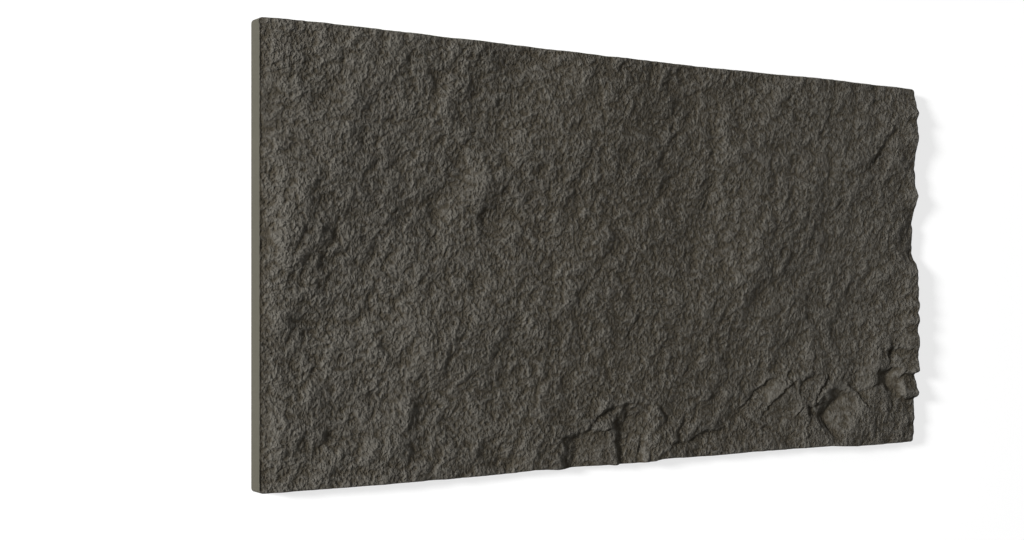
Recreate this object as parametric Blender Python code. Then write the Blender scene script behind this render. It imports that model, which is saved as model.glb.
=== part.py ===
# Faux stone wall panel: one moulded slab with a split-rock front face.
# The panel lies on its flat back, rock face up. +X runs along its length,
# +Y along its width, and z = 0 is the back.

import math

import bmesh
import bpy
import numpy as np

# Driving dimensions, in metres
PANEL_LENGTH = 1.2
PANEL_WIDTH = 0.6
EDGE_THICKNESS = 0.0244      # straight left edge
FACE_LEVEL = 0.0268          # mean height of the rock face above the back
PEAK_ABOVE = 0.0145          # highest rock, above the face level
PIT_BELOW = 0.0163           # deepest break, below the face level
CORNER_CUT = 0.0022          # worn corners of the outline
CHIP_REACH = 0.045           # how far into the face the edge chips pull it
LEFT_BLEND = 0.034           # width in which the rock meets the straight left edge
RIGHT_BLEND = 0.045          # width in which it meets the ragged right end
CORNER_DIP = 0.0060          # drop of the face at the top left corner
CORNER_DIP_REACH = 0.014
LEDGE_FADE = 0.012           # how fast a ledge dies out past its ends
RIM_BAND = 0.015             # narrow cells along the ends and edges
RIM_PITCH = 0.0075

# Where the rock pattern's centre lies, from the left end and from the bottom edge
PATTERN_FROM_LEFT = 0.600
PATTERN_FROM_BOTTOM = 0.300

# All places below are measured from the pattern's centre, or from the right end where said
LEFT = -PATTERN_FROM_LEFT
RIGHT = LEFT + PANEL_LENGTH
BOTTOM = -PATTERN_FROM_BOTTOM
TOP = BOTTOM + PANEL_WIDTH

# Spacing of the face's net: (from, pitch)
NET_ALONG = [(-0.585, 0.0170), (-0.150, 0.0086), (0.030, 0.0125), (0.200, 0.0092)]
NET_ACROSS = [(-0.285, 0.0080), (-0.140, 0.0150)]

# Waves of the face: (wavelength, slope, lean in degrees, stretch, seed)
SWELLS = [(0.310, 0.042, 38, 1.2, 11), (0.160, 0.040, 48, 1.2, 12)]
LUMPS = [(0.082, 0.052, 55, 1.2, 13), (0.046, 0.070, 50, 1.2, 14)]

# Single rises and dents: (x, y, long radius, short radius, lean, height)
RISES = [
    (-0.470, 0.205, 0.060, 0.024, 80, 0.0036),
    (-0.318, 0.235, 0.055, 0.022, 75, 0.0034),
    (-0.328, 0.078, 0.052, 0.025, 65, -0.0044),
    (-0.272, 0.088, 0.048, 0.019, 75, 0.0034),
    (-0.215, -0.010, 0.055, 0.019, 85, 0.0028),
    (-0.125, -0.055, 0.042, 0.017, 80, 0.0028),
    (-0.140, 0.075, 0.038, 0.017, 75, 0.0028),
    (-0.075, 0.243, 0.032, 0.017, 80, -0.0028),
    (0.148, 0.165, 0.065, 0.014, 85, -0.0036),
    (0.215, -0.035, 0.060, 0.032, 60, 0.0032),
    (0.240, 0.110, 0.045, 0.022, 60, 0.0032),
    (-0.458, -0.225, 0.050, 0.024, 30, -0.0040),
    (-0.395, -0.240, 0.055, 0.024, 75, 0.0036),
    (-0.185, -0.280, 0.022, 0.012, 20, 0.0030),
    (-0.230, -0.284, 0.020, 0.010, 10, -0.0038),
    (0.034, -0.256, 0.036, 0.020, 80, 0.0036),
    (0.078, -0.290, 0.034, 0.015, 5, 0.0056),
    (0.070, -0.268, 0.022, 0.013, 45, 0.0026),
    (0.113, -0.250, 0.016, 0.012, 20, 0.0032),
    (0.400, 0.060, 0.070, 0.034, 50, 0.0030),
    (0.440, -0.080, 0.060, 0.030, 65, -0.0026),
    (0.552, 0.195, 0.055, 0.022, 80, 0.0040),
    (0.300, -0.190, 0.070, 0.030, 20, 0.0040),
    (0.384, -0.204, 0.032, 0.017, 42, 0.0060),
    (0.447, -0.186, 0.022, 0.012, 90, 0.0034),
    (0.496, -0.170, 0.044, 0.022, 80, 0.0080),
    (0.524, -0.154, 0.030, 0.018, 80, 0.0034),
    (0.557, -0.191, 0.017, 0.014, 85, 0.0085),
    (0.566, -0.212, 0.018, 0.014, 85, 0.0060),
    (0.574, -0.128, 0.042, 0.026, 90, 0.0050),
]

# Ledges: (line, lift before it, lead of the lift, drop after it, scarp width, run back up);
# the low side is right of the line
LEDGES = [
    ([(-0.080, -0.232), (-0.061, -0.219), (-0.026, -0.211), (0.022, -0.214)],
     0.0006, 0.012, 0.0028, 0.007, 0.024),
    ([(0.006, -0.276), (0.014, -0.244)], 0.0010, 0.010, 0.0030, 0.007, 0.016),
    ([(0.078, -0.259), (0.100, -0.226)], 0.0004, 0.016, 0.0026, 0.008, 0.020),
    ([(0.034, -0.298), (0.073, -0.271), (0.108, -0.268), (0.139, -0.258), (0.165, -0.256)],
     0.0010, 0.014, 0.0022, 0.007, 0.022),
    ([(0.212, -0.226), (0.243, -0.198), (0.267, -0.184)], 0.0024, 0.020, 0.0010, 0.007, 0.020),
    ([(0.262, -0.229), (0.287, -0.2085), (0.312, -0.1935)], 0.0042, 0.024, 0.0002, 0.007, 0.026),
    ([(0.331, -0.202), (0.3375, -0.190), (0.356, -0.182)], 0.0012, 0.014, 0.0024, 0.007, 0.022),
    ([(0.3305, -0.237), (0.348, -0.230), (0.371, -0.2265)], 0.0008, 0.012, 0.0022, 0.007, 0.016),
    ([(0.369, -0.214), (0.377, -0.199), (0.391, -0.187)], 0.0002, 0.010, 0.0050, 0.006, 0.010),
    ([(0.474, -0.227), (0.463, -0.213), (0.446, -0.202)], 0.0010, 0.012, 0.0022, 0.007, 0.018),
    ([(0.486, 0.165), (0.505, 0.182), (0.532, 0.216), (0.544, 0.228)],
     0.0012, 0.030, 0.0052, 0.012, 0.030),
    ([(-0.260, 0.088), (-0.120, 0.094), (0.000, 0.112), (0.140, 0.136)], 0.0, 0.020, 0.0040, 0.046, 0.110),
]

# Ledges that run out at the right end, x from that end
END_LEDGES = [
    ([(-0.060, -0.141), (-0.023, -0.141), (0.012, -0.134)], 0.0010, 0.014, 0.0030, 0.007, 0.018),
    ([(-0.039, -0.186), (-0.0215, -0.1785), (0.014, -0.180)], 0.0012, 0.016, 0.0045, 0.007, 0.032),
    ([(-0.038, -0.212), (-0.009, -0.2265), (0.014, -0.222)], 0.0010, 0.012, 0.0060, 0.007, 0.026),
]

# Flat breaks: (corners of the floor, wall slope on each side, floor below the face level,
# slope along x, slope along y)
BREAKS = [
    ([(-0.122, -0.310), (-0.020, -0.310), (-0.022, -0.244), (-0.090, -0.250), (-0.117, -0.255)],
     [0.2, 0.2, 3.0, 3.0, 0.50], 0.0036, 0.085, 0.010),
    ([(-0.114, -0.310), (-0.060, -0.310), (-0.060, -0.264), (-0.097, -0.253), (-0.112, -0.258)],
     [0.2, 0.2, 0.4, 1.0, 0.90], 0.0063, 0.140, 0.0),
    ([(-0.028, -0.310), (0.005, -0.310), (0.010, -0.262), (0.013, -0.242), (0.004, -0.232),
      (-0.014, -0.233), (-0.030, -0.247)], [0.2, 1.0, 0.9, 0.5, 0.60, 0.80, 1.00], 0.0061, 0.120, -0.040),
    ([(0.334, -0.226), (0.366, -0.222), (0.370, -0.200), (0.352, -0.187), (0.338, -0.194)],
     [0.3, 0.8, 0.4, 0.8, 0.55], -0.0008, 0.050, -0.030),
    ([(0.3965, -0.2385), (0.400, -0.262), (0.418, -0.285), (0.470, -0.285), (0.470, -0.205),
      (0.440, -0.212), (0.4134, -0.2187)], [1.0, 0.5, 0.5, 0.5, 0.45, 0.75, 0.88], 0.0026, 0.280, -0.190),
    ([(0.507, -0.196), (0.536, -0.198), (0.537, -0.186), (0.526, -0.1775), (0.507, -0.1765)],
     [0.6, 0.80, 0.6, 2.0, 3.0], 0.0060, -0.290, 0.0),
]

# A break that runs out at the right end, x from that end
END_BREAKS = [
    ([(-0.040, -0.214), (0.020, -0.216), (0.020, -0.1805), (-0.040, -0.183)],
     [0.5, 0.5, 2.5, 0.8], -0.0056, -0.330, -0.450),
]

# Height of the face along the right end: (y, above the face level)
END_PROFILE = [
    (-0.300, -0.0048), (-0.262, -0.0008), (-0.229, -0.0028), (-0.222, 0.0072), (-0.216, 0.0108),
    (-0.203, 0.0033), (-0.186, -0.0028), (-0.181, 0.0092), (-0.175, 0.0112), (-0.148, 0.0064),
    (-0.128, 0.0122), (-0.114, 0.0077), (-0.094, 0.0119), (-0.080, 0.0076), (-0.067, 0.0117),
    (-0.046, 0.0082), (-0.012, 0.0082), (0.001, 0.0031), (0.018, -0.0075), (0.076, -0.0062),
    (0.097, -0.0011), (0.117, 0.0071), (0.138, 0.0005), (0.168, -0.0007), (0.199, 0.0047),
    (0.215, 0.0091), (0.243, 0.0047), (0.258, 0.0086), (0.280, 0.0016), (0.300, -0.0028),
]

# Chips along the bottom and top edges: (x, depth into the edge)
BOTTOM_CHIPS = [
    (-0.245, 0.0), (-0.180, 0.0024), (-0.140, 0.0002), (-0.110, 0.0018), (-0.050, 0.0015),
    (-0.040, 0.0002), (-0.025, 0.0012), (0.035, 0.0022), (0.060, 0.0046), (0.140, 0.0030),
    (0.240, 0.0040), (0.320, 0.0033), (0.400, 0.0040), (0.460, 0.0),
]
TOP_CHIPS = [
    (-0.560, 0.0), (-0.400, 0.0010), (-0.260, 0.0004), (-0.200, 0.0), (-0.160, 0.0010),
    (-0.060, 0.0028), (-0.020, 0.0019), (0.060, 0.0017), (0.180, 0.0012), (0.230, 0.0),
]


def smooth_step(low, high, value):
    t = np.clip((value - low) / (high - low), 0.0, 1.0)
    return t * t * (3.0 - 2.0 * t)


def net_noise(u, v, seed):
    """Gradient noise on a unit net, about -0.7 to 0.7."""
    size = 64
    turn = np.random.default_rng(seed).uniform(0.0, 2.0 * math.pi, (size, size))
    iu, iv = np.floor(u).astype(int), np.floor(v).astype(int)
    fu, fv = u - iu, v - iv
    wu = fu ** 3 * (fu * (fu * 6 - 15) + 10)
    wv = fv ** 3 * (fv * (fv * 6 - 15) + 10)

    def corner(du, dv):
        angle = turn[(iu + du) % size, (iv + dv) % size]
        return np.cos(angle) * (fu - du) + np.sin(angle) * (fv - dv)

    near = corner(0, 0) * (1 - wu) + corner(1, 0) * wu
    far = corner(0, 1) * (1 - wu) + corner(1, 1) * wu
    return near * (1 - wv) + far * wv


def turned(x, y, lean):
    """Coordinates along and across a direction given in degrees."""
    angle = math.radians(lean)
    return x * math.cos(angle) + y * math.sin(angle), y * math.cos(angle) - x * math.sin(angle)


def waves(x, y, wavelength, slope, lean, stretch, seed):
    """Leaning waves, stretched along the lean and high enough for the slope."""
    along, across = turned(x, y, lean)
    cell = wavelength * 0.62
    noise = net_noise(along / (cell * stretch) + 17.3 + seed, across / cell + 9.1 + 2 * seed, seed)
    return 0.98 * slope * wavelength * noise


def line_distance(x, y, line):
    """Signed distance from a line, + on its right, and the overshoot past its ends."""
    best = np.full(x.shape, 1e9)
    side = np.zeros(x.shape)
    past = np.zeros(x.shape)
    last = len(line) - 2
    for i, (start, end) in enumerate(zip(line, line[1:])):
        dx, dy = end[0] - start[0], end[1] - start[1]
        length = math.hypot(dx, dy)
        along = ((x - start[0]) * dx + (y - start[1]) * dy) / length
        offset = ((x - start[0]) * dy - (y - start[1]) * dx) / length
        gap = np.hypot(along - np.clip(along, 0.0, length), offset)
        closer = gap < best
        best = np.where(closer, gap, best)
        over = np.maximum(-along, 0.0) * (i == 0) + np.maximum(along - length, 0.0) * (i == last)
        reach = np.where(over > 0, np.abs(offset), gap)
        side = np.where(closer, np.where(offset >= 0, reach, -reach), side)
        past = np.where(closer, over, past)
    return side, past


def rise(x, y, cx, cy, long_radius, short_radius, lean, height):
    along, across = turned(x - cx, y - cy, lean)
    return height * np.exp(-(along / long_radius) ** 2 - (across / short_radius) ** 2)


def ledge(x, y, line, lift, lead, drop, scarp, run):
    """A climb to the line, a scarp down across it, then a straight climb back."""
    side, past = line_distance(x, y, line)
    climb = np.clip(1.0 + (side + scarp / 2) / lead, 0.0, 1.0)
    fall = np.clip(side / scarp + 0.5, 0.0, 1.0)
    back = np.clip((side - scarp / 2) / run, 0.0, 1.0)
    shape = lift * climb * (1.0 - fall) - drop * fall * (1.0 - back)
    return shape * np.exp(-(past / LEDGE_FADE) ** 2)


def break_floor(x, y, corners, walls, below, slope_x, slope_y):
    """The tilted floor of a flat break, with a wall of its own slope on each side."""
    cx, cy = (sum(place) / len(corners) for place in zip(*corners))
    wall = np.zeros(x.shape)
    for (ax, ay), (bx, by), steep in zip(corners, corners[1:] + corners[:1], walls):
        length = math.hypot(bx - ax, by - ay)
        outside = ((x - ax) * (by - ay) - (y - ay) * (bx - ax)) / length
        wall = np.maximum(wall, outside * steep)
    return FACE_LEVEL - below + slope_x * (x - cx) + slope_y * (y - cy) + wall


def rock_height(x, y):
    """Height of the rock face above the back at each point."""
    z = np.full(x.shape, FACE_LEVEL)
    for row in SWELLS + LUMPS:
        z = z + waves(x, y, *row)
    for row in RISES:
        z = z + rise(x, y, *row)
    for cut in BREAKS:
        z = np.minimum(z, break_floor(x, y, *cut))
    for cut in END_BREAKS:
        z = np.minimum(z, break_floor(x - RIGHT, y, *cut))
    for row in LEDGES:
        z = z + ledge(x, y, *row)
    for row in END_LEDGES:
        z = z + ledge(x - RIGHT, y, *row)
    return z


def face_height(x, y):
    """The rock face, brought to the left edge's thickness and the right end's profile."""
    z = rock_height(x, y)
    ys, offsets = zip(*END_PROFILE)
    left_gap = EDGE_THICKNESS - rock_height(np.full(x.shape, LEFT), y)
    right_gap = FACE_LEVEL + np.interp(y, ys, offsets) - rock_height(np.full(x.shape, RIGHT), y)
    z = z + left_gap * (1.0 - smooth_step(LEFT, LEFT + LEFT_BLEND, x))
    z = z + right_gap * smooth_step(RIGHT - RIGHT_BLEND, RIGHT, x)
    z = z - CORNER_DIP * np.exp(-(np.hypot(x - LEFT, y - TOP) / CORNER_DIP_REACH) ** 2)
    return np.clip(z, FACE_LEVEL - PIT_BELOW, FACE_LEVEL + PEAK_ABOVE)


def chip_depth(x, chips):
    xs, depths = zip(*chips)
    return np.interp(x, xs, depths)


def outline(x, y):
    """Pull the net in at the edge chips and at the worn corners."""
    corner = ((x == LEFT) | (x == RIGHT)) & ((y == BOTTOM) | (y == TOP))
    inward_x = np.sign((LEFT + RIGHT) / 2 - x)
    inward_y = np.sign((BOTTOM + TOP) / 2 - y)
    near_bottom = np.clip(1.0 - (y - BOTTOM) / CHIP_REACH, 0.0, 1.0)
    near_top = np.clip(1.0 - (TOP - y) / CHIP_REACH, 0.0, 1.0)
    y = y + chip_depth(x, BOTTOM_CHIPS) * near_bottom - chip_depth(x, TOP_CHIPS) * near_top
    return x + corner * inward_x * CORNER_CUT, y + corner * inward_y * CORNER_CUT


def net_lines(stretches, low, high):
    """Lines from low to high: a band of narrow cells at each end, and each stretch at its own pitch."""
    inner_low, inner_high = low + RIM_BAND, high - RIM_BAND
    marks = [(low, RIM_PITCH), (inner_low, stretches[0][1])]
    marks += [(start, pitch) for start, pitch in stretches if inner_low < start < inner_high]
    marks += [(inner_high, RIM_PITCH), (high, None)]
    lines = []
    for (start, pitch), (end, _) in zip(marks, marks[1:]):
        count = max(1, round((end - start) / pitch))
        lines.extend(start + (end - start) * i / count for i in range(count))
    return np.array(lines + [high])


def stone_material():
    material = bpy.data.materials.new("stone")
    material.use_nodes = True
    shader = material.node_tree.nodes["Principled BSDF"]
    shader.inputs["Base Color"].default_value = (0.075, 0.069, 0.057, 1.0)
    shader.inputs["Roughness"].default_value = 0.92
    shader.inputs["Metallic"].default_value = 0.0
    material.diffuse_color = (0.075, 0.069, 0.057, 1.0)
    return material


def make_panel():
    """A net over the front, shaped to the rock, extruded back and closed flat."""
    xs = net_lines(NET_ALONG, LEFT, RIGHT)
    ys = net_lines(NET_ACROSS, BOTTOM, TOP)
    mesh = bpy.data.meshes.new("stone_panel")
    bm = bmesh.new()
    columns, rows = len(xs) - 1, len(ys) - 1
    bmesh.ops.create_grid(bm, x_segments=columns, y_segments=rows, size=1.0)
    net = np.array([vert.co[:2] for vert in bm.verts])
    x = xs[np.rint((net[:, 0] + 1) / 2 * columns).astype(int)]
    y = ys[np.rint((net[:, 1] + 1) / 2 * rows).astype(int)]
    x, y = outline(x, y)
    z = face_height(x, y)
    for vert, px, py, pz in zip(bm.verts, x, y, z):
        vert.co = (px, py, pz)

    rim = [edge for edge in bm.edges if edge.is_boundary]
    sides = bmesh.ops.extrude_edge_only(bm, edges=rim)["geom"]
    for vert in (item for item in sides if isinstance(item, bmesh.types.BMVert)):
        vert.co.z = 0.0
    bmesh.ops.holes_fill(bm, edges=[edge for edge in bm.edges if edge.is_boundary], sides=0)
    bmesh.ops.triangulate(bm, faces=bm.faces, quad_method="SHORT_EDGE")
    bmesh.ops.recalc_face_normals(bm, faces=bm.faces)
    bm.to_mesh(mesh)
    bm.free()
    mesh.materials.append(stone_material())
    mesh.shade_smooth()
    mesh.set_sharp_from_angle(angle=math.radians(55))
    panel = bpy.data.objects.new("stone_panel", mesh)
    panel.location = (-(LEFT + RIGHT) / 2, -(BOTTOM + TOP) / 2, 0.0)
    bpy.context.scene.collection.objects.link(panel)
    return panel


for item in list(bpy.data.objects):
    bpy.data.objects.remove(item, do_unlink=True)

panel = make_panel()
print(panel.name, len(panel.data.polygons), "faces", [round(side, 4) for side in panel.dimensions])
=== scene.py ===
import math

import bpy
import numpy as np
from mathutils import Matrix, Vector


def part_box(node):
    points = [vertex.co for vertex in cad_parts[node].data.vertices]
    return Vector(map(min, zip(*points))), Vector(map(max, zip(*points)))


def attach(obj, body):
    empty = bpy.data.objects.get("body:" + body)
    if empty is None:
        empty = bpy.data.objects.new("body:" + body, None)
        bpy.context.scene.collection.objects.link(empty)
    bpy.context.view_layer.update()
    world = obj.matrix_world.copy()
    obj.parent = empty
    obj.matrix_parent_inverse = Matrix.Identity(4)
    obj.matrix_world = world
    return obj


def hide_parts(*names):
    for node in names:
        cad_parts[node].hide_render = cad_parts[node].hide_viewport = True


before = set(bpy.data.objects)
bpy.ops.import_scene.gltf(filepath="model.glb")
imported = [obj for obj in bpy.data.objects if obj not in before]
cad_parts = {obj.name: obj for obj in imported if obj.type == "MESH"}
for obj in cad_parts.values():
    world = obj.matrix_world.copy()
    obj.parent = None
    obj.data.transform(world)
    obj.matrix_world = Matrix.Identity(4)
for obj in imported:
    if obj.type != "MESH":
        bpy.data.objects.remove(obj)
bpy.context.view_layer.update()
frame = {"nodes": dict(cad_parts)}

print("frame loaded:", ", ".join(frame["nodes"]))

# the whole board, in metres
board = {
    "length": 1.2,
    "width": 0.6,
    "edgeThickness": 0.0244,     # straight left edge
    "faceLevel": 0.0268,         # mean height of the rock
    "faceFloor": 0.0105,
    "underTop": 0.0001,          # the highest crest stays this far under the box
    "topSoftness": 0.002,        # crests are rounded off over this height
    "columns": 408,
    "rows": 231,
    "arris": 0.0009,             # how far the worn rim is pulled down
    "arrisWidth": 0.0013,
    "lip": 0.0009,               # the left rim stands up by this
    "chipReach": 0.045,
    "cornerRadius": 0.0055,
    "leftRun": 0.034,            # over which the rock comes to the left edge's thickness
    "rightRun": 0.045,           # and to the right end's profile
    "cornerDip": (0.003, 0.01),  # worn top left corner: depth, radius
    "edgeGrain": (0.15, 0.02),   # share of the grain at the left edge, run to the whole of it
    "endSteps": 1201,            # samples of the height along each end
    "ledgeFade": 0.012,          # how soon a ledge dies out past its ends
    "ledgeMargin": 0.04,         # and where nothing of it is left

    # waves that make the rock: wavelength, slope, lean in degrees, stretch, seed
    "swells": [(0.310, 0.042, 38, 1.2, 11), (0.160, 0.036, 48, 1.2, 12)],
    "lumps": [(0.082, 0.046, 55, 1.2, 13), (0.046, 0.064, 50, 1.2, 14)],
    "grain": [(0.030, 0.070, 50, 1.3, 21), (0.0115, 0.112, 55, 1.2, 22)],
    "domes": [(0.034, 0.097, 65, 1.3, 24), (0.020, 0.150, 55, 1.35, 25)],    # with creases between
    "cellShare": 0.62,           # net pitch of the noise as a share of the wavelength
    "slopeGain": 0.98,           # from the noise's swing to the slope asked
    "domeLevel": 0.15,           # mean height of a dome, as a share of wavelength times slope
    "warps": [(0.045, 0.0020, 101), (0.016, 0.0008, 103)],      # wavelength, reach, seed
    "jags": [(0.026, 0.22, 31), (0.010, 0.25, 33)],    # wander of ledges: wavelength, slope, seed
    "grainLevel": 0.96,
    "grainRange": (0.12, 1.5),
    "calm": 0.30,                # how much the grain's height varies from place to place
    "calmSize": 0.06,            # and over what distance
    "smoothRing": (0.5, 1.5),    # where a smooth spot starts to fade and ends, in radii squared

    # painted shade and light: crests painted lighter and hollows painted darker by their height
    # over the rock near them, and stretches painted lighter or darker across the board
    "cavityShadeSteps": [(2, 0.0006), (6, 0.0016)],              # reach in net steps, height for a full step
    "paintedShadeShare": 0.25,          # how much such a step moves the tone
    # painted light: lighter towards the left, as the lamp's falloff leaves the board, and darker
    # through the middle
    "paintedLightBands": [(0.02, 0.26, -0.90), (-0.44, 0.10, 0.30)],        # x, reach, amount

    # single rises and dents: x, y, long radius, short radius, lean, height
    "rises": [
        (-0.47, 0.205, 0.06, 0.024, 80, 0.0036),
        (-0.318, 0.235, 0.055, 0.022, 75, 0.0034),
        (-0.328, 0.078, 0.052, 0.025, 65, -0.0044),
        (-0.272, 0.088, 0.048, 0.019, 75, 0.0034),
        (-0.215, -0.01, 0.055, 0.019, 85, 0.0028),
        (-0.125, -0.055, 0.042, 0.017, 80, 0.0028),
        (-0.14, 0.075, 0.038, 0.017, 75, 0.0028),
        (-0.075, 0.243, 0.032, 0.017, 80, -0.0028),
        (0.148, 0.165, 0.065, 0.014, 85, -0.0036),
        (0.215, -0.035, 0.06, 0.032, 60, 0.0032),
        (0.24, 0.11, 0.045, 0.022, 60, 0.0032),
        (-0.458, -0.225, 0.05, 0.024, 30, -0.004),
        (-0.395, -0.24, 0.055, 0.024, 75, 0.0036),
        (-0.185, -0.28, 0.022, 0.012, 20, 0.003),
        (-0.23, -0.284, 0.02, 0.01, 10, -0.0038),
        (0.034, -0.256, 0.036, 0.02, 80, 0.0036),
        (0.078, -0.29, 0.034, 0.015, 5, 0.0056),
        (0.113, -0.25, 0.016, 0.012, 20, 0.0032),
        (0.4, 0.06, 0.07, 0.034, 50, 0.003),
        (0.44, -0.08, 0.06, 0.03, 65, -0.0026),
        (0.552, 0.195, 0.055, 0.022, 80, 0.004),
        (0.3, -0.19, 0.07, 0.03, 20, 0.004),
        (0.384, -0.204, 0.032, 0.017, 42, 0.006),
        (0.496, -0.17, 0.044, 0.022, 80, 0.008),
        (0.455, -0.172, 0.044, 0.018, 80, -0.0016),
        (0.524, -0.154, 0.03, 0.018, 80, 0.0034),
        (0.29, -0.212, 0.034, 0.022, 40, 0.001),
        (0.557, -0.191, 0.017, 0.014, 85, 0.0085),
        (0.447, -0.186, 0.022, 0.012, 90, 0.0034),
        (0.07, -0.268, 0.022, 0.013, 45, 0.0026),
        (0.06, -0.289, 0.02, 0.009, 30, 0.0026),
        (0.566, -0.212, 0.018, 0.014, 85, 0.006),
        (0.574, -0.128, 0.042, 0.026, 90, 0.005),
    ],

    # small knobs and pits inside the breaks, in the same terms
    "knobs": [
        (-0.064, -0.234, 0.018, 0.006, 20, 0.0016),
        (0.34, -0.2365, 0.0075, 0.0055, 20, 0.003),
        (0.371, -0.239, 0.01, 0.0065, 0, 0.0022),
        (0.3825, -0.248, 0.0065, 0.0045, 0, -0.0024),
        (0.545, -0.147, 0.0065, 0.0065, 0, -0.0045),
    ],

    # ledges: line, lift before it, lead of the lift, drop after it, scarp width, run of the climb
    # back; the low side is right of the line
    "ledges": [
        ([(-0.082, -0.235), (-0.078, -0.231), (-0.072, -0.226), (-0.061, -0.219)],
         0.0008, 0.012, 0.0026, 0.0026, 0.02),
        ([(-0.061, -0.219), (-0.05, -0.215), (-0.026, -0.211), (0.006, -0.208), (0.022, -0.214)],
         0.0006, 0.012, 0.0026, 0.0032, 0.024),
        ([(0.004, -0.279), (0.008, -0.265), (0.012, -0.254), (0.014, -0.246)],
         0.001, 0.008, 0.003, 0.0034, 0.014),
        ([(0.051, -0.236), (0.047, -0.226)], 0.0006, 0.008, 0.0026, 0.0035, 0.01),
        ([(0.078, -0.259), (0.087, -0.243), (0.093, -0.231), (0.1, -0.226)],
         0.0004, 0.016, 0.0026, 0.007, 0.02),
        ([(0.034, -0.298), (0.043, -0.292), (0.052, -0.285), (0.061, -0.279), (0.073, -0.271)],
         0.0006, 0.01, 0.0014, 0.003, 0.016),
        ([(0.073, -0.271), (0.087, -0.273), (0.097, -0.27), (0.108, -0.268), (0.12, -0.263),
          (0.139, -0.258), (0.165, -0.256)],
         0.001, 0.014, 0.0022, 0.0034, 0.022),
        ([(0.212, -0.226), (0.22, -0.217), (0.23, -0.21), (0.243, -0.198), (0.254, -0.19),
          (0.267, -0.184)],
         0.0024, 0.02, 0.0008, 0.0026, 0.02),
        ([(0.193, -0.238), (0.204, -0.228), (0.206, -0.205), (0.21, -0.188)],
         0.0006, 0.014, 0.0012, 0.004, 0.014),
        ([(0.229, -0.242), (0.24, -0.249), (0.262, -0.257)], 0.0008, 0.01, 0.0022, 0.0034, 0.012),
        ([(0.262, -0.229), (0.269, -0.223), (0.278, -0.2155), (0.287, -0.2085), (0.296, -0.201),
          (0.3045, -0.198), (0.312, -0.1935)],
         0.0042, 0.024, 0.0002, 0.0026, 0.026),
        ([(0.312, -0.1935), (0.3065, -0.184), (0.303, -0.178), (0.3085, -0.1735)],
         0.001, 0.012, 0.002, 0.003, 0.012),
        ([(0.331, -0.202), (0.331, -0.193), (0.3375, -0.19), (0.3475, -0.184), (0.356, -0.182)],
         0.0012, 0.014, 0.0024, 0.003, 0.022),
        ([(0.3305, -0.237), (0.3395, -0.231), (0.348, -0.23), (0.3615, -0.228), (0.371, -0.2265)],
         0.001, 0.01, 0.0034, 0.003, 0.014),
        ([(0.352, -0.245), (0.3495, -0.233)], 0.0012, 0.008, 0.0038, 0.003, 0.014),
        ([(0.346, -0.276), (0.347, -0.258)], 0.0006, 0.01, 0.002, 0.0034, 0.014),
        ([(0.369, -0.214), (0.377, -0.199), (0.384, -0.193), (0.391, -0.187)],
         0.0002, 0.01, 0.006, 0.0034, 0.01),
        ([(0.4, -0.274), (0.397, -0.268), (0.391, -0.263), (0.3885, -0.252)],
         0.001, 0.008, 0.0018, 0.003, 0.012),
        ([(0.474, -0.227), (0.47, -0.222), (0.463, -0.213), (0.446, -0.202)],
         0.0012, 0.012, 0.0036, 0.003, 0.018),
        ([(0.462, -0.213), (0.47, -0.209), (0.479, -0.205), (0.506, -0.199)],
         0.001, 0.012, 0.0022, 0.0034, 0.018),
        ([(0.5385, -0.156), (0.54, -0.148), (0.5405, -0.141)], 0.001, 0.02, 0.003, 0.004, 0.022),
        ([(0.54, -0.141), (0.562, -0.138), (0.577, -0.141), (0.595, -0.138), (0.612, -0.134)],
         0.001, 0.014, 0.003, 0.0036, 0.018),
        ([(0.561, -0.186), (0.566, -0.1805), (0.5785, -0.1785), (0.591, -0.178), (0.614, -0.18)],
         0.0012, 0.016, 0.0045, 0.0036, 0.032),
        ([(0.562, -0.212), (0.57, -0.224), (0.591, -0.2265), (0.614, -0.222)],
         0.001, 0.012, 0.006, 0.0036, 0.026),
        ([(0.486, 0.165), (0.505, 0.182), (0.52, 0.2), (0.532, 0.216), (0.544, 0.228)],
         0.0012, 0.03, 0.0052, 0.012, 0.03),
        ([(-0.26, 0.088), (-0.12, 0.094), (0.0, 0.112), (0.14, 0.136)],
         0.0, 0.02, 0.004, 0.046, 0.11),
    ],

    # flat breaks: corner points counter-clockwise, wall slope on each side, height at the middle,
    # slope along x and along y, softness of the foot of the walls
    "breaks": [
        ([(-0.122, -0.31), (-0.02, -0.31), (-0.022, -0.244), (-0.09, -0.25), (-0.117, -0.255)],
         [0.2, 0.2, 3.0, 3.0, 0.5],
         0.0236, 0.085, 0.01, 0.0014),
        ([(-0.114, -0.31), (-0.06, -0.31), (-0.06, -0.264), (-0.097, -0.253), (-0.112, -0.258)],
         [0.2, 0.2, 0.4, 1.0, 0.75],
         0.0208, 0.14, 0.0, 0.003),
        ([(-0.028, -0.31), (0.005, -0.31), (0.01, -0.262), (0.013, -0.242), (0.004, -0.232),
          (-0.014, -0.233), (-0.03, -0.247)],
         [0.2, 1.0, 0.9, 0.5, 0.6, 0.62, 0.86],
         0.021, 0.12, -0.04, 0.0026),
        ([(0.334, -0.226), (0.366, -0.222), (0.37, -0.2), (0.352, -0.187), (0.338, -0.194)],
         [0.3, 0.8, 0.4, 0.8, 0.55],
         0.0276, 0.05, -0.03, 0.0012),
        ([(0.507, -0.196), (0.536, -0.198), (0.537, -0.186), (0.526, -0.1775), (0.507, -0.1765)],
         [0.6, 0.8, 0.6, 2.0, 3.0],
         0.0208, -0.29, 0.0, 0.0012),
        ([(0.56, -0.214), (0.62, -0.216), (0.62, -0.1805), (0.56, -0.183)],
         [0.5, 0.5, 2.5, 0.8],
         0.0292, -0.43, -0.45, 0.0012),
        ([(0.393, -0.2425), (0.401, -0.264), (0.425, -0.285), (0.47, -0.285), (0.47, -0.205),
          (0.442, -0.213), (0.416, -0.2215)],
         [0.64, 0.2, 0.5, 0.5, 0.45, 0.75, 0.94],
         0.0236, 0.28, -0.19, 0.002),
    ],

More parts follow.
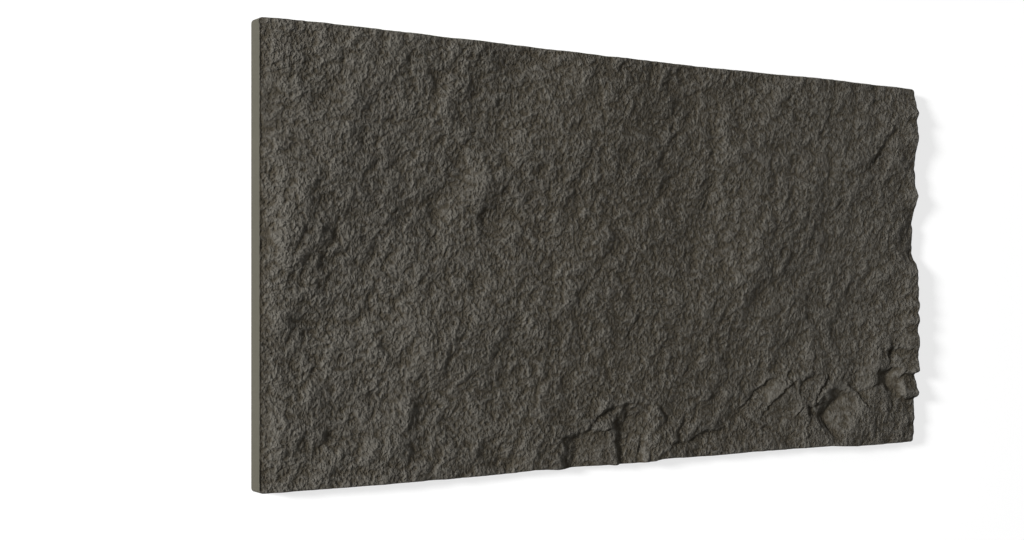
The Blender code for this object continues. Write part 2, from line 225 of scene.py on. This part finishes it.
    # smoother rock in the breaks: x, y, two radii, how much of the grain goes
    "smoothSpots": [
        (-0.08, -0.275, 0.04, 0.03, 0.25),
        (-0.008, -0.265, 0.022, 0.034, 0.35),
        (0.425, -0.232, 0.036, 0.04, 0.45),
        (0.49, -0.175, 0.03, 0.036, 0.3),
        (0.545, -0.19, 0.024, 0.026, 0.45),
        (0.278, -0.203, 0.026, 0.018, 0.45),
        (0.3, -0.225, 0.04, 0.03, 0.35),
        (-0.585, 0.19, 0.016, 0.05, 0.4),
    ],

    # painted shadow on the rock at the right end, where its ledges shade it: x, y, long radius,
    # short radius, lean, how dark
    "paintedShadows": [
        (0.584, -0.197, 0.017, 0.015, 90, 2.4),
        (0.567, -0.205, 0.016, 0.011, 90, 1.0),
        (0.588, -0.128, 0.042, 0.016, 90, 1.8),
        (0.552, -0.194, 0.02, 0.012, 85, 0.9),
    ],

    # height of the rock along the right end: y, z
    "endProfile": [
        (-0.3, 0.022), (-0.262, 0.026), (-0.226, 0.024), (-0.222, 0.034), (-0.216, 0.0375),
        (-0.208, 0.0325), (-0.185, 0.024), (-0.181, 0.036), (-0.175, 0.038), (-0.148, 0.033),
        (-0.135, 0.0375), (-0.122, 0.0385), (-0.114, 0.0345), (-0.101, 0.035), (-0.094, 0.0385),
        (-0.08, 0.0345), (-0.067, 0.0385), (-0.06, 0.035), (-0.012, 0.035), (0.001, 0.03),
        (0.015, 0.0205), (0.022, 0.019), (0.072, 0.02), (0.09, 0.0225), (0.103, 0.03),
        (0.117, 0.034), (0.131, 0.0285), (0.168, 0.026), (0.19, 0.029), (0.212, 0.036),
        (0.226, 0.0355), (0.246, 0.031), (0.258, 0.0355), (0.28, 0.0285), (0.3, 0.024),
    ],

    # chips along the bottom edge: x, depth into the edge
    "bottomChips": [
        (-0.245, 0.0), (-0.22, 0.0003), (-0.2, 0.0014), (-0.18, 0.0024), (-0.16, 0.0016),
        (-0.14, 0.0002), (-0.125, 0.0), (-0.11, 0.0018), (-0.05, 0.0015), (-0.04, 0.0002),
        (-0.025, 0.0012), (0.0, 0.0012), (0.035, 0.0022), (0.045, 0.004), (0.06, 0.0046),
        (0.08, 0.0044), (0.1, 0.0034), (0.14, 0.003), (0.24, 0.004), (0.32, 0.0033), (0.4, 0.004),
        (0.46, 0.0),
    ],

    # and along the top edge
    "topChips": [
        (-0.56, 0.0), (-0.4, 0.001), (-0.26, 0.0004), (-0.2, 0.0), (-0.16, 0.001), (-0.1, 0.002),
        (-0.06, 0.0028), (-0.02, 0.0019), (0.06, 0.0017), (0.18, 0.0012), (0.23, 0.0),
    ],
}

halfLength = board["length"] / 2
halfWidth = board["width"] / 2


# 3t^2 - 2t^3 of the value's place t between low and high
def smoothStep(low, high, value):
    t = np.clip((value - low) / (high - low), 0.0, 1.0)
    return t * t * (3.0 - 2.0 * t)


# gradient noise: a random direction at each net corner, its dot product with the way
# to the point, and a fifth-degree blend between the four corners
def netNoise(u, v, seed):
    size = 64
    turn = np.random.default_rng(seed).uniform(0.0, 2.0 * math.pi, (size, size))
    gx, gy = np.cos(turn), np.sin(turn)
    iu, iv = np.floor(u).astype(int), np.floor(v).astype(int)
    fu, fv = u - iu, v - iv
    wu = fu ** 3 * (fu * (fu * 6 - 15) + 10)
    wv = fv ** 3 * (fv * (fv * 6 - 15) + 10)

    def corner(du, dv):
        a, b = (iu + du) % size, (iv + dv) % size
        return gx[a, b] * (fu - du) + gy[a, b] * (fv - dv)

    near = corner(0, 0) * (1 - wu) + corner(1, 0) * wu
    far = corner(0, 1) * (1 - wu) + corner(1, 1) * wu
    return near * (1 - wv) + far * wv


# net noise turned by the lean and stretched along it, high enough for the slope asked
def waves(x, y, wavelength, slope, lean, stretch, seed):
    angle = math.radians(lean)
    along = x * math.cos(angle) + y * math.sin(angle)
    across = y * math.cos(angle) - x * math.sin(angle)
    cell = wavelength * board["cellShare"]
    noise = netNoise(along / (cell * stretch) + 17.3 + seed, across / cell + 9.1 + 2 * seed, seed)
    return board["slopeGain"] * slope * wavelength * noise


# signed distance to a line, plus on its right, and the overshoot past its ends
def lineDistance(x, y, line):
    best = np.full(x.shape, 1e9)
    side = np.zeros(x.shape)
    past = np.zeros(x.shape)
    last = len(line) - 2
    for i, (start, end) in enumerate(zip(line, line[1:])):
        dx, dy = end[0] - start[0], end[1] - start[1]
        length = math.hypot(dx, dy)
        along = ((x - start[0]) * dx + (y - start[1]) * dy) / length
        offset = ((x - start[0]) * dy - (y - start[1]) * dx) / length
        gap = np.hypot(along - np.clip(along, 0.0, length), offset)
        closer = gap < best
        best = np.where(closer, gap, best)
        over = np.maximum(-along, 0.0) * (i == 0) + np.maximum(along - length, 0.0) * (i == last)
        reach = np.where(over > 0, np.abs(offset), gap)
        side = np.where(closer, np.where(offset >= 0, reach, -reach), side)
        past = np.where(closer, over, past)
    return side, past


# height times exp(-(along/long)^2 - (across/short)^2)
def rise(x, y, cx, cy, longRadius, shortRadius, lean, height):
    angle = math.radians(lean)
    along = (x - cx) * math.cos(angle) + (y - cy) * math.sin(angle)
    across = (y - cy) * math.cos(angle) - (x - cx) * math.sin(angle)
    return height * np.exp(-(along / longRadius) ** 2 - (across / shortRadius) ** 2)


# a straight climb to the line, a scarp down across it, then a straight climb back
def ledge(x, y, line, lift, lead, drop, scarp, run):
    xs, ys = zip(*line)
    reach = max(lead, run) + board["ledgeMargin"]
    near = (x > min(xs) - reach) & (x < max(xs) + reach)
    near &= (y > min(ys) - reach) & (y < max(ys) + reach)
    out = np.zeros(x.shape)
    side, past = lineDistance(x[near], y[near], line)
    climb = np.clip(1.0 + (side + scarp / 2) / lead, 0.0, 1.0)
    fall = np.clip(side / scarp + 0.5, 0.0, 1.0)
    back = np.clip((side - scarp / 2) / run, 0.0, 1.0)
    shape = lift * climb * (1.0 - fall) - drop * fall * (1.0 - back)
    out[near] = shape * np.exp(-(past / board["ledgeFade"]) ** 2)
    return out


# tilted floor plus, beyond each side of the polygon, that side's slope times the distance;
# the greatest of these, w, is rounded to (w + sqrt(w^2 + soft^2)) / 2
def breakFloor(x, y, points, walls, height, slopeX, slopeY, soft):
    cx, cy = (sum(c) / len(points) for c in zip(*points))
    wall = np.full(x.shape, -1.0)
    for (ax, ay), (bx, by), steep in zip(points, points[1:] + points[:1], walls):
        length = math.hypot(bx - ax, by - ay)
        outside = ((x - ax) * (by - ay) - (y - ay) * (bx - ax)) / length
        wall = np.maximum(wall, outside * steep)
    wall = (wall + np.sqrt(wall * wall + soft * soft)) / 2
    return height + slopeX * (x - cx) + slopeY * (y - cy) + wall


# level + swells + lumps + rises, cut down to the floors of the breaks, + knobs + ledges
def rockHeight(x, y):
    z = np.full(x.shape, board["faceLevel"])
    for row in board["swells"] + board["lumps"]:
        z = z + waves(x, y, *row)
    for row in board["rises"]:
        z = z + rise(x, y, *row)
    jagX, jagY = x, y
    for wavelength, slope, seed in board["jags"]:
        jagX = jagX + waves(x, y, wavelength, slope, 0, 1, seed)
        jagY = jagY + waves(x, y, wavelength, slope, 90, 1, seed + 1)
    for cut in board["breaks"]:
        z = np.minimum(z, breakFloor(jagX, jagY, *cut))
    for row in board["knobs"]:
        z = z + rise(x, y, *row)
    for row in board["ledges"]:
        z = z + ledge(jagX, jagY, *row)
    return z


# slow noise round the grain's level, less inside each smooth spot
def roughness(x, y):
    size = board["calmSize"]
    rough = board["grainLevel"] + board["calm"] * netNoise(x / size + 4, y / size + 6, 61)
    for cx, cy, rx, ry, less in board["smoothSpots"]:
        far = ((x - cx) / rx) ** 2 + ((y - cy) / ry) ** 2
        rough = rough * (1.0 - less * (1.0 - smoothStep(*board["smoothRing"], far)))
    return np.clip(rough, *board["grainRange"])


# short waves plus domes, which are the size of a wave without its sign less its mean, read at
# places shifted by two slower noises, times the roughness
def grainHeight(x, y):
    rough = roughness(x, y)
    for wavelength, reach, seed in board["warps"]:
        shiftX = 2 * reach * netNoise(x / wavelength + 5, y / wavelength + 3, seed)
        shiftY = 2 * reach * netNoise(x / wavelength + 1, y / wavelength + 8, seed + 1)
        x, y = x + shiftX, y + shiftY
    smooth = sum(waves(x, y, *row) for row in board["grain"])
    level = board["domeLevel"]
    domes = sum(np.abs(waves(x, y, *row)) - level * row[0] * row[1] for row in board["domes"])
    return rough * (smooth + domes)


# rock plus grain, brought to the left edge's thickness and the right end's profile; what comes
# near the top, by o over the start of the soft zone s, is rounded to s tanh(o / s)
def faceHeight(x, y, top):
    z = rockHeight(x, y)
    across = np.linspace(-halfWidth, halfWidth, board["endSteps"])
    leftGap = board["edgeThickness"] - rockHeight(np.full(across.shape, -halfLength), across)
    rightRock = rockHeight(np.full(across.shape, halfLength), across)
    rightGap = np.interp(across, *zip(*board["endProfile"])) - rightRock
    atLeft = 1.0 - smoothStep(-halfLength, -halfLength + board["leftRun"], x)
    atRight = smoothStep(halfLength - board["rightRun"], halfLength, x)
    z = z + np.interp(y, across, leftGap) * atLeft
    z = z + np.interp(y, across, rightGap) * atRight
    depth, radius = board["cornerDip"]
    z = z - depth * np.exp(-(np.hypot(x + halfLength, y - halfWidth) / radius) ** 2)
    least, run = board["edgeGrain"]
    calm = least + (1.0 - least) * smoothStep(-halfLength, -halfLength + run, x)
    z = z + grainHeight(x, y) * calm
    soft = board["topSoftness"]
    over = z - (top - soft)
    z = np.where(over > 0, top - soft + soft * np.tanh(over / soft), z)
    return np.maximum(z, board["faceFloor"])


# grid lines across the board, with one narrow step at each end for the worn rim
def gridLines(half, count):
    inner = np.linspace(-half + board["arrisWidth"], half - board["arrisWidth"], count - 1)
    return np.concatenate([[-half], inner, [half]])


# height above the mean of its neighbours, from running sums over a square window
def standsAbove(z, reach):
    padded = np.pad(z, reach, mode="edge")
    total = np.cumsum(np.cumsum(np.pad(padded, ((1, 0), (1, 0))), axis=0), axis=1)
    width = 2 * reach + 1
    far, near = total[width:], total[:-width]
    block = far[:, width:] - near[:, width:] - far[:, :-width] + near[:, :-width]
    return z - block / width ** 2


# y pulled inwards near each long edge by the depth of its chips, less and less over their reach
def edgeLine(x, y):
    below = np.interp(x, *zip(*board["bottomChips"]))
    above = np.interp(x, *zip(*board["topChips"]))
    nearBottom = np.clip(1.0 - (y + halfWidth) / board["chipReach"], 0.0, 1.0)
    nearTop = np.clip(1.0 - (halfWidth - y) / board["chipReach"], 0.0, 1.0)
    return y + below * nearBottom - above * nearTop


# each corner's square of side r squeezed to a quarter disc: (u, v) goes to
# (u sqrt(1 - v^2 / 2), v sqrt(1 - u^2 / 2))
def roundCorners(x, y, radius):
    innerX, innerY = halfLength - radius, halfWidth - radius
    u = np.clip((np.abs(x) - innerX) / radius, 0.0, 1.0)
    v = np.clip((np.abs(y) - innerY) / radius, 0.0, 1.0)
    roundX = np.where(u * v > 0, innerX + radius * u * np.sqrt(1 - v * v / 2), np.abs(x))
    roundY = np.where(u * v > 0, innerY + radius * v * np.sqrt(1 - u * u / 2), np.abs(y))
    return np.copysign(roundX, x), np.copysign(roundY, y)


# one closed shell: the face grid, straight sides down from its rim, and one flat back
def makePanel(material, sideMaterial):
    columns, rows = board["columns"], board["rows"]
    x, y = np.meshgrid(gridLines(halfLength, columns), gridLines(halfWidth, rows), indexing="ij")
    y = edgeLine(x, y)
    x, y = roundCorners(x, y, board["cornerRadius"])
    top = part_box("stone_panel")[1][2] - board["underTop"]
    z = faceHeight(x, y, top)
    rim = np.zeros(z.shape, bool)
    rim[[0, -1], :] = rim[:, [0, -1]] = True
    z = np.where(rim, z - board["arris"], z)
    z[0, 1:-1] += board["arris"] + board["lip"]

    face = np.stack([x, y, z], -1).reshape(-1, 3)
    index = np.arange((columns + 1) * (rows + 1)).reshape(columns + 1, rows + 1)
    ring = np.concatenate([index[:-1, 0], index[-1, :-1], index[:0:-1, -1], index[0, :0:-1]])
    foot = face[ring] * (1.0, 1.0, 0.0)
    points = np.concatenate([face, foot])

    a, b, c, d = index[:-1, :-1], index[1:, :-1], index[1:, 1:], index[:-1, 1:]
    a, b, c, d = (k.ravel() for k in (a, b, c, d))
    heights = points[:, 2]
    shortWay = np.abs(heights[a] - heights[c]) <= np.abs(heights[b] - heights[d])
    first = np.where(shortWay[:, None], np.stack([a, b, c], 1), np.stack([a, b, d], 1))
    second = np.where(shortWay[:, None], np.stack([a, c, d], 1), np.stack([b, c, d], 1))
    triangles = np.concatenate([first, second])
    low = len(face) + np.arange(len(ring))
    sides = np.stack([low, np.roll(low, -1), np.roll(ring, -1), ring], 1)

    faces = triangles.tolist() + sides.tolist() + [low[::-1].tolist()]
    mesh = bpy.data.meshes.new("stonePanel")
    mesh.from_pydata(points.tolist(), [], faces)
    flat = np.zeros(len(faces), bool)
    flat[len(triangles):] = True
    mesh.polygons.foreach_set("use_smooth", ~flat)
    mesh.polygons.foreach_set("material_index", flat.astype(np.int32))

    # values for the material at every point of the face; nothing reads those at the foot
    def addValues(name, values, atFoot):
        every = np.concatenate([values.ravel(), np.full(len(ring), atFoot)]).astype(np.float32)
        mesh.attributes.new(name, "FLOAT", "POINT").data.foreach_set("value", every)

    # painted shade in the hollows and painted light on the crests, from each point's height over
    # its neighbours
    paintedShade = sum(standsAbove(z, reach) / full for reach, full in board["cavityShadeSteps"])
    # painted light: a lighter stretch at the left and a darker one through the middle
    for middle, reach, lighter in board["paintedLightBands"]:
        paintedShade = paintedShade + lighter * np.exp(-((x - middle) / reach) ** 2)
    # painted shadow patches at the right end
    for row in board["paintedShadows"]:
        paintedShade = paintedShade - rise(x, y, *row)
    addValues("paintedShade", np.clip(0.5 + board["paintedShadeShare"] * paintedShade, 0.0, 1.0), 0.5)
    addValues("rough", roughness(x, y), 0.4)
    mesh.validate()
    mesh.update()
    mesh.materials.append(material)
    mesh.materials.append(sideMaterial)
    panel = bpy.data.objects.new("stonePanel", mesh)
    bpy.context.scene.collection.objects.link(panel)
    count = len(triangles) + 2 * len(sides) + len(ring) - 2
    print("panel:", count, "triangles, top", round(float(z.max()), 4))
    return panel


# node helper: makes a node, sets its plain values and links its sockets
def addNode(tree, kind, values=None, **settings):
    node = tree.nodes.new(kind)
    for name, value in settings.items():
        setattr(node, name, value)
    for name, value in (values or {}).items():
        socket = node.inputs[name]
        if isinstance(value, bpy.types.NodeSocket):
            tree.links.new(value, socket)
        else:
            socket.default_value = value
    return node


# a Math node's result
def calc(tree, operation, first, second):
    return addNode(tree, "ShaderNodeMath", {0: first, 1: second}, operation=operation).outputs[0]


# an empty node group with named inputs and outputs
def newGroup(name, inputs, outputs):
    group = bpy.data.node_groups.new(name, "ShaderNodeTree")
    for label, kind, value in inputs:
        socket = group.interface.new_socket(label, in_out="INPUT", socket_type=kind)
        if value is not None:
            socket.default_value = value
    for label, kind in outputs:
        group.interface.new_socket(label, in_out="OUTPUT", socket_type=kind)
    given = group.nodes.new("NodeGroupInput").outputs
    return group, given, group.nodes.new("NodeGroupOutput").inputs


bumpNoise = {
    "cells": 1612.0,             # to the metre, at a wavelength of one millimetre
    "detail": 3.0,
    "roughness": 0.70,
    "lacunarity": 1.7,
    "gain": 4.9,                 # from the noise's swing to the slope asked
    "push": 0.002,               # how far the noise shifts the creases, in metres
}


# height in millimetres: centred noise times wavelength, slope and gain, less the distance to the
# nearest cell point times wavelength and crease
def grainGroup():
    group, given, out = newGroup(
        "stoneGrain",
        [("Vector", "NodeSocketVector", None), ("Wavelength", "NodeSocketFloat", 9.0),
         ("Slope", "NodeSocketFloat", 0.2), ("Crease", "NodeSocketFloat", 0.0)],
        [("Height", "NodeSocketFloat")])
    scale = calc(group, "DIVIDE", bumpNoise["cells"], given["Wavelength"])
    noise = addNode(group, "ShaderNodeTexNoise", {
        "Vector": given["Vector"], "Scale": scale, "Detail": bumpNoise["detail"],
        "Roughness": bumpNoise["roughness"], "Lacunarity": bumpNoise["lacunarity"]}).outputs
    centred = calc(group, "SUBTRACT", noise["Fac"], 0.5)
    size = calc(group, "MULTIPLY", given["Wavelength"], given["Slope"])
    height = calc(group, "MULTIPLY", calc(group, "MULTIPLY", centred, size), bumpNoise["gain"])
    push = addNode(group, "ShaderNodeVectorMath",
                   {0: noise["Color"], "Scale": bumpNoise["push"]}, operation="SCALE")
    moved = addNode(group, "ShaderNodeVectorMath",
                    {0: given["Vector"], 1: push.outputs[0]}, operation="ADD")
    cells = addNode(group, "ShaderNodeTexVoronoi", {"Vector": moved.outputs[0], "Scale": scale})
    distance = calc(group, "MULTIPLY", cells.outputs["Distance"], given["Wavelength"])
    cut = calc(group, "MULTIPLY", distance, given["Crease"])
    group.links.new(calc(group, "SUBTRACT", height, cut), out["Height"])
    return group


# cells to the metre, detail, roughness
toneNoise = {
    "patches": (11.0, 3.0, 0.5),
    "specks": (520.0, 1.5, 0.6),
}


# colour times one plus two centred noises, for patches and specks
def toneGroup():
    group, given, out = newGroup(
        "stoneTone",
        [("Vector", "NodeSocketVector", None),
         ("Color", "NodeSocketColor", (0.07, 0.065, 0.055, 1)),
         ("Patches", "NodeSocketFloat", 0.2), ("Specks", "NodeSocketFloat", 0.3)],
        [("Color", "NodeSocketColor")])

    def swing(scale, detail, roughness, amount):
        noise = addNode(group, "ShaderNodeTexNoise", {
            "Vector": given["Vector"], "Scale": scale, "Detail": detail, "Roughness": roughness})
        centred = calc(group, "SUBTRACT", noise.outputs["Fac"], 0.5)
        return calc(group, "ADD", calc(group, "MULTIPLY", centred, amount), 1.0)

    patches = swing(*toneNoise["patches"], given["Patches"])
    specks = swing(*toneNoise["specks"], given["Specks"])
    color = addNode(group, "ShaderNodeVectorMath", {
        0: given["Color"], "Scale": calc(group, "MULTIPLY", patches, specks)}, operation="SCALE")
    group.links.new(color.outputs[0], out["Color"])
    return group


# what the rock and the cut sides share: tone and grain on object coordinates, and a matt surface;
# gives the material, the grain's height and the sockets for the colour and the bump
def matteStone(name, finish, grain, tone):
    material = bpy.data.materials.new(name)
    material.use_nodes = True
    tree = material.node_tree
    shader = tree.nodes["Principled BSDF"]
    place = addNode(tree, "ShaderNodeTexCoord").outputs["Object"]
    painted = addNode(tree, "ShaderNodeGroup", {
        "Vector": place, "Patches": finish["patches"], "Specks": finish["specks"]}, node_tree=tone)
    fine = addNode(tree, "ShaderNodeGroup", {
        "Vector": place, "Wavelength": finish["wavelength"], "Slope": finish["slope"],
        "Crease": finish["crease"]}, node_tree=grain)
    bump = addNode(tree, "ShaderNodeBump", {"Strength": 1.0, "Distance": 0.001})
    tree.links.new(painted.outputs["Color"], shader.inputs["Base Color"])
    tree.links.new(bump.outputs["Normal"], shader.inputs["Normal"])
    shader.inputs["Roughness"].default_value = finish["roughness"]
    shader.inputs["Specular IOR Level"].default_value = finish["specular"]
    return material, fine.outputs["Height"], painted.inputs["Color"], bump.inputs["Height"]


rockFinish = {
    # painted shade in crevices and pits and painted light on crests, by these two colours and the
    # bump's height
    "hollow": (0.0380, 0.0320, 0.0222, 1.0),     # colour in the crevices
    "crest": (0.0862, 0.0803, 0.0688, 1.0),      # and on the crests, painted light
    "pitShade": 0.34,            # how far a millimetre of bump moves the colour
    "pitLevel": 0.37,            # and what puts its mean back
    "patches": 0.22,
    "specks": 0.30,
    "wavelength": 9.0,           # of the coarsest bump, in millimetres
    "slope": 0.178,
    "crease": 0.210,
    "roughness": 0.88,
    "specular": 0.15,
}


# painted shade and light: colour from the hollow's painted shade to the crest's painted light, by
# the painted shade at the point plus the bump's own height, so the bump's pits are painted darker
def rockMaterial(grain, tone):
    material, height, color, bump = matteStone("rockFace", rockFinish, grain, tone)
    tree = material.node_tree
    paintedShade = addNode(tree, "ShaderNodeAttribute", attribute_name="paintedShade").outputs["Fac"]
    rough = addNode(tree, "ShaderNodeAttribute", attribute_name="rough").outputs["Fac"]
    raised = calc(tree, "ADD", paintedShade, calc(tree, "MULTIPLY", height, rockFinish["pitShade"]))
    level = calc(tree, "ADD", raised, rockFinish["pitLevel"])
    shade = addNode(tree, "ShaderNodeMix", {
        0: level, 6: rockFinish["hollow"], 7: rockFinish["crest"]}, data_type="RGBA")
    tree.links.new(shade.outputs[2], color)
    tree.links.new(calc(tree, "MULTIPLY", height, rough), bump)
    return material


sideFinish = {
    "color": (0.0553, 0.0524, 0.0400, 1.0),
    "patches": 0.10,
    "specks": 0.16,
    "wavelength": 3.0,
    "slope": 0.07,
    "crease": 0.0,
    "roughness": 0.9,
    "specular": 0.15,
}


# one colour, with the same tone and grain, much finer
def sideMaterial(grain, tone):
    material, height, color, bump = matteStone("cutSide", sideFinish, grain, tone)
    color.default_value = sideFinish["color"]
    material.node_tree.links.new(height, bump)
    return material


studio = {
    "floorSize": 12.0,
    "floorColor": 0.80,
    "shadowShare": 0.32,         # how much of the floor's white the lamps give
    "keyFrom": (170, 22),        # degrees round from +X, degrees up
    "keyShare": 0.79,            # share of a level surface's light
    "keyDistance": 10.0,
    "keySoftness": 9.0,          # degrees across, as the board sees the lamp
    "fillFrom": (80, 32),
    "fillShare": 0.05,
    "fillSoftness": 40.0,
    "fillDistance": 3.0,
    "sky": 0.175,
    "white": 1.0,                # of all that lies past the floor, as the camera sees it
    "floorWhite": 1.05,          # and of the floor in full light
}


# one where the camera sees a surface straight on, in a gloss or through glass, else nought
def seenByCamera(tree):
    light = addNode(tree, "ShaderNodeLightPath").outputs
    either = calc(tree, "MAXIMUM", light["Is Camera Ray"], light["Is Glossy Ray"])
    return calc(tree, "MAXIMUM", either, light["Is Transmission Ray"])


# a flat square that lights the panel as pale card would, and looks white but for the shadow
def makeFloor():
    half = studio["floorSize"] / 2
    corners = [(-half, -half, 0), (half, -half, 0), (half, half, 0), (-half, half, 0)]
    mesh = bpy.data.meshes.new("floor")
    mesh.from_pydata(corners, [], [(0, 1, 2, 3)])
    material = bpy.data.materials.new("floor")
    material.use_nodes = True
    tree = material.node_tree
    tree.nodes.remove(tree.nodes["Principled BSDF"])
    share = studio["shadowShare"]
    plain = addNode(tree, "ShaderNodeBsdfDiffuse", {"Color": (studio["floorColor"],) * 3 + (1,)})
    lit = addNode(tree, "ShaderNodeBsdfDiffuse", {"Color": (share, share, share, 1)})
    glow = addNode(tree, "ShaderNodeEmission", {"Strength": studio["floorWhite"] - share})
    seen = addNode(tree, "ShaderNodeAddShader", {0: lit.outputs[0], 1: glow.outputs[0]})
    mix = addNode(tree, "ShaderNodeMixShader", {
        0: seenByCamera(tree), 1: plain.outputs[0], 2: seen.outputs[0]})
    tree.links.new(mix.outputs[0], tree.nodes["Material Output"].inputs["Surface"])
    mesh.materials.append(material)
    floor = bpy.data.objects.new("floor", mesh)
    bpy.context.scene.collection.objects.link(floor)
    return floor


# puts a lamp out along its direction and turns it to face the middle
def placeLamp(lamp, direction, distance):
    around, up = (math.radians(angle) for angle in direction)
    level = math.cos(up)
    toLamp = Vector((math.cos(around) * level, math.sin(around) * level, math.sin(up)))
    lampObject = bpy.data.objects.new(lamp.name, lamp)
    lampObject.rotation_euler = toLamp.to_track_quat("Z", "Y").to_euler()
    lampObject.location = toLamp * distance
    bpy.context.scene.collection.objects.link(lampObject)


# a round lamp whose share of a level surface's light is power * sin(up) / (pi * distance)^2
def addLamp(name, direction, share, softness, distance):
    lamp = bpy.data.lights.new(name, "AREA")
    lamp.shape = "DISK"
    lamp.size = 2 * distance * math.tan(math.radians(softness) / 2)
    lamp.energy = share * (math.pi * distance) ** 2 / math.sin(math.radians(direction[1]))
    placeLamp(lamp, direction, distance)


# a sun whose share of a level surface's light is strength * sin(up) / pi
def addSun(name, direction, share, softness, distance):
    lamp = bpy.data.lights.new(name, "SUN")
    lamp.energy = share * math.pi / math.sin(math.radians(direction[1]))
    lamp.angle = math.radians(softness)
    placeLamp(lamp, direction, distance)


# white where the camera looks past the floor, even light from all round everywhere else
def makeSky():
    world = bpy.data.worlds.new("studio")
    bpy.context.scene.world = world
    world.use_nodes = True
    tree = world.node_tree
    tree.nodes.clear()
    sky = addNode(tree, "ShaderNodeBackground", {
        "Color": (1, 1, 1, 1), "Strength": studio["sky"]})
    white = addNode(tree, "ShaderNodeBackground", {
        "Color": (1, 1, 1, 1), "Strength": studio["white"]})
    mix = addNode(tree, "ShaderNodeMixShader", {
        0: seenByCamera(tree), 1: sky.outputs[0], 2: white.outputs[0]})
    output = addNode(tree, "ShaderNodeOutputWorld")
    tree.links.new(mix.outputs[0], output.inputs["Surface"])


view = {
    "lens": 51.73,
    "sensor": 36.0,
    "place": (-1.3496, -0.0482, 1.7420),
    "toward": (0.5495, 0.0, -0.8355),
    "shiftUp": 0.0231,
}


# looks along its own direction, with the board's width upright in the picture
def makeCamera():
    camera = bpy.data.objects.new("camera", bpy.data.cameras.new("camera"))
    camera.data.lens = view["lens"]
    camera.data.sensor_width = view["sensor"]
    camera.data.shift_y = view["shiftUp"]
    toward = Vector(view["toward"]).normalized()
    up = Vector((0.0, 1.0, 0.0))
    turn = Matrix((toward.cross(up), up, -toward)).transposed()
    camera.matrix_world = Matrix.Translation(view["place"]) @ turn.to_4x4()
    bpy.context.scene.collection.objects.link(camera)
    bpy.context.scene.camera = camera


grain, tone = grainGroup(), toneGroup()
panel = makePanel(rockMaterial(grain, tone), sideMaterial(grain, tone))
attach(panel, "root")
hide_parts("stone_panel")
print("panel placed")

floor = makeFloor()
for name, addLight in (("key", addLamp), ("fill", addSun)):
    setting = [studio[name + part] for part in ("From", "Share", "Softness", "Distance")]
    addLight(name, *setting)
makeSky()
makeCamera()
bpy.context.scene.view_settings.view_transform = "Standard"
print("studio ready")

bpy.context.view_layer.update()
